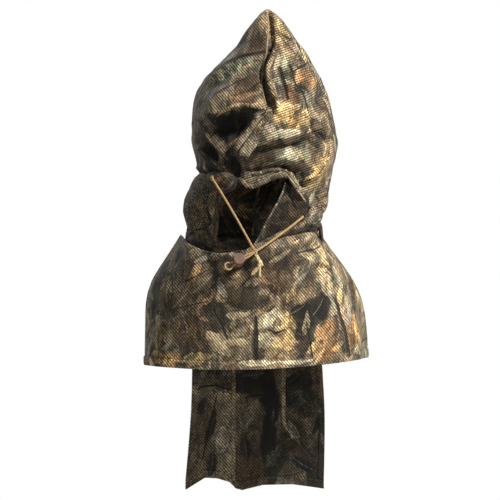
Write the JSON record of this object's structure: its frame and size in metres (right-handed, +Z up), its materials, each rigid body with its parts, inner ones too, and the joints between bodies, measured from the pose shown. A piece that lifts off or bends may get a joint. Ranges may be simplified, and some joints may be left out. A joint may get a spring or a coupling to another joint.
{
  "type": "camouflage face mask",
  "caption": "Hood-style camouflage face mask with a drawcord face opening, ear mesh, a short shoulder bib in front and a long neck flap behind",
  "frame": {"origin": "centre of the neck seam ring that joins the hood, the bib and the back flap", "axes": "+Z up along the wearer's neck, the face looks along -Y, the wearer's left is +X"},
  "size_m": [0.3352, 0.2394, 0.728],
  "materials": {
    "camo_mesh_light": "knitted polyester mesh with a leaf and twig print, golden side",
    "camo_mesh_dark": "knitted polyester mesh with a leaf and twig print, shaded side",
    "open_net": "coarse diamond net over the ear",
    "hem_cloth": "doubled hem of the printed mesh",
    "binding_tape": "folded seam tape",
    "elastic_cord": "braided tan elastic cord",
    "thread": "sewing thread",
    "lock_plastic": "moulded cord lock",
    "spring_wire": "spring steel"
  },
  "bodies": {
    "neck": {"neck_seam_tape": "binding_tape"},
    "hood": {"hood_left_side_panel": "camo_mesh_light", "hood_right_side_panel": "camo_mesh_dark", "crown_seam_tape": "binding_tape", "face_casing": "camo_mesh_dark", "opening_edge_left": "binding_tape", "opening_edge_right": "binding_tape", "ear_mesh_left": "open_net", "ear_mesh_right": "open_net", "ear_mesh_binding_left": "binding_tape", "ear_mesh_binding_right": "binding_tape", "casing_cord": "elastic_cord", "drawcord_buttonholes": "thread", "face_veil": "camo_mesh_dark"},
    "front_bib": {"bib_panel": "camo_mesh_light", "bib_hem": "hem_cloth", "bib_side_hem_left": "hem_cloth", "bib_side_hem_right": "hem_cloth", "bib_hem_stitches": "thread"},
    "back_flap": {"flap_panel": "camo_mesh_dark", "flap_hem": "hem_cloth", "flap_side_hem_left": "hem_cloth", "flap_side_hem_right": "hem_cloth", "flap_pleat_tape": "binding_tape", "flap_hem_stitches": "thread"},
    "drawcord": {"drawcord_left": "elastic_cord", "drawcord_right": "elastic_cord", "junction_knot": "elastic_cord", "lock_loop": "elastic_cord"},
    "cord_tails": {"tail_cord": "elastic_cord", "tail_knot": "elastic_cord", "frayed_ends": "elastic_cord"},
    "cord_lock": {"lock_barrel": "lock_plastic", "lock_spring": "spring_wire"},
    "plunger": {"lock_plunger": "lock_plastic"}
  },
  "joints": [
    {"name": "hood_tip_back", "type": "hinge", "parent": "neck", "child": "hood", "pos_m": [0, 0.094, 0.004], "axis": [-1, 0, 0], "range_deg": [0, 25]},
    {"name": "front_bib_lift", "type": "hinge", "parent": "neck", "child": "front_bib", "pos_m": [0, -0.099, -0.008], "axis": [-1, 0, 0], "range_deg": [0, 60]},
    {"name": "back_flap_lift", "type": "hinge", "parent": "neck", "child": "back_flap", "pos_m": [0, 0.099, -0.0075], "axis": [1, 0, 0], "range_deg": [0, 80]},
    {"name": "drawcord_swing", "type": "hinge", "parent": "hood", "child": "drawcord", "pos_m": [-0.068, -0.0855, 0.0925], "axis": [-0.9153, -0.0577, 0.3986], "range_deg": [0, 50.5]},
    {"name": "tail_swing", "type": "hinge", "parent": "drawcord", "child": "cord_tails", "pos_m": [-0.0045, -0.112, -0.018], "axis": [-1, 0, 0], "range_deg": [0, 50]},
    {"name": "cord_lock_slide", "type": "slide", "parent": "drawcord", "child": "cord_lock", "axis": [-0.8541, -0.2481, -0.4572], "range_m": [-0.014, 0.003]},
    {"name": "plunger_press", "type": "slide", "parent": "cord_lock", "child": "plunger", "axis": [-0.0867, 0.9345, -0.3452], "range_m": [0, 0.002], "stiffness_N_per_m": 600, "deforming": ["lock_spring"]}
  ],
  "couplings": [
    {"joint": "drawcord_swing", "follows": "front_bib_lift", "ratio": 0.8}
  ]
}
